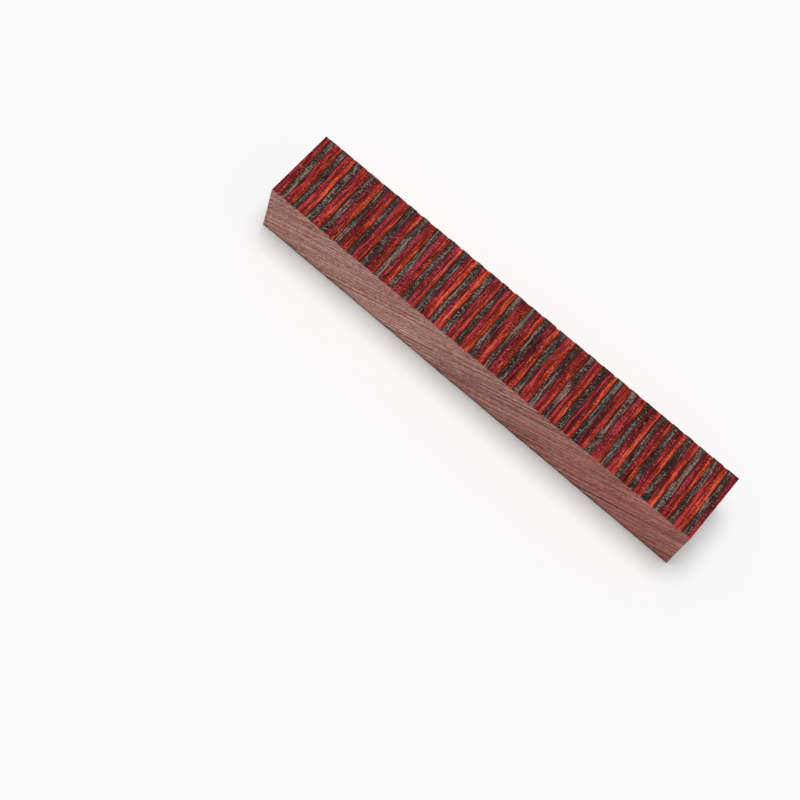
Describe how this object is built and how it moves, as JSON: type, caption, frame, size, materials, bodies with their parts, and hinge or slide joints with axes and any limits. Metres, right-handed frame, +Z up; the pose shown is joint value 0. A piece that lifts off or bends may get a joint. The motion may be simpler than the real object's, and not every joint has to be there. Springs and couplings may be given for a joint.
{
  "type": "dyed laminated wood block",
  "caption": "Square-sawn bar of thin dyed wood veneers, grey, crimson and orange in turn, glued on a slant, as a blank for handles, pens and turning.",
  "frame": {"origin": "middle of the sawn underside that the bar rests on", "axes": "+X along the bar, the way the veneers climb, +Y across its width, +Z up through its thickness"},
  "size_m": [0.125, 0.02, 0.018],
  "materials": {
    "dyed_veneer": "sawn and unsealed, matt, grey, crimson and orange dyes in turn"
  },
  "bodies": {
    "root": {"veneer_set_01": "dyed_veneer", "veneer_set_02": "dyed_veneer", "veneer_set_03": "dyed_veneer", "veneer_set_04": "dyed_veneer", "veneer_set_05": "dyed_veneer", "veneer_set_06": "dyed_veneer", "veneer_set_07": "dyed_veneer", "veneer_set_08": "dyed_veneer", "veneer_set_09": "dyed_veneer", "veneer_set_10": "dyed_veneer", "veneer_set_11": "dyed_veneer", "veneer_set_12": "dyed_veneer", "veneer_set_13": "dyed_veneer", "veneer_set_14": "dyed_veneer", "veneer_set_15": "dyed_veneer", "veneer_set_16": "dyed_veneer", "veneer_set_17": "dyed_veneer", "veneer_set_18": "dyed_veneer", "veneer_set_19": "dyed_veneer", "veneer_set_20": "dyed_veneer", "veneer_set_21": "dyed_veneer", "veneer_set_22": "dyed_veneer", "veneer_set_23": "dyed_veneer", "veneer_set_24": "dyed_veneer", "veneer_set_25": "dyed_veneer", "veneer_set_26": "dyed_veneer", "veneer_set_27": "dyed_veneer", "veneer_set_28": "dyed_veneer", "veneer_set_29": "dyed_veneer", "veneer_set_30": "dyed_veneer", "veneer_set_31": "dyed_veneer", "veneer_set_32": "dyed_veneer", "veneer_set_33": "dyed_veneer", "veneer_set_34": "dyed_veneer", "veneer_set_35": "dyed_veneer", "veneer_set_36": "dyed_veneer", "veneer_set_37": "dyed_veneer", "veneer_set_38": "dyed_veneer", "veneer_set_39": "dyed_veneer", "veneer_set_40": "dyed_veneer"}
  },
  "joints": []
}
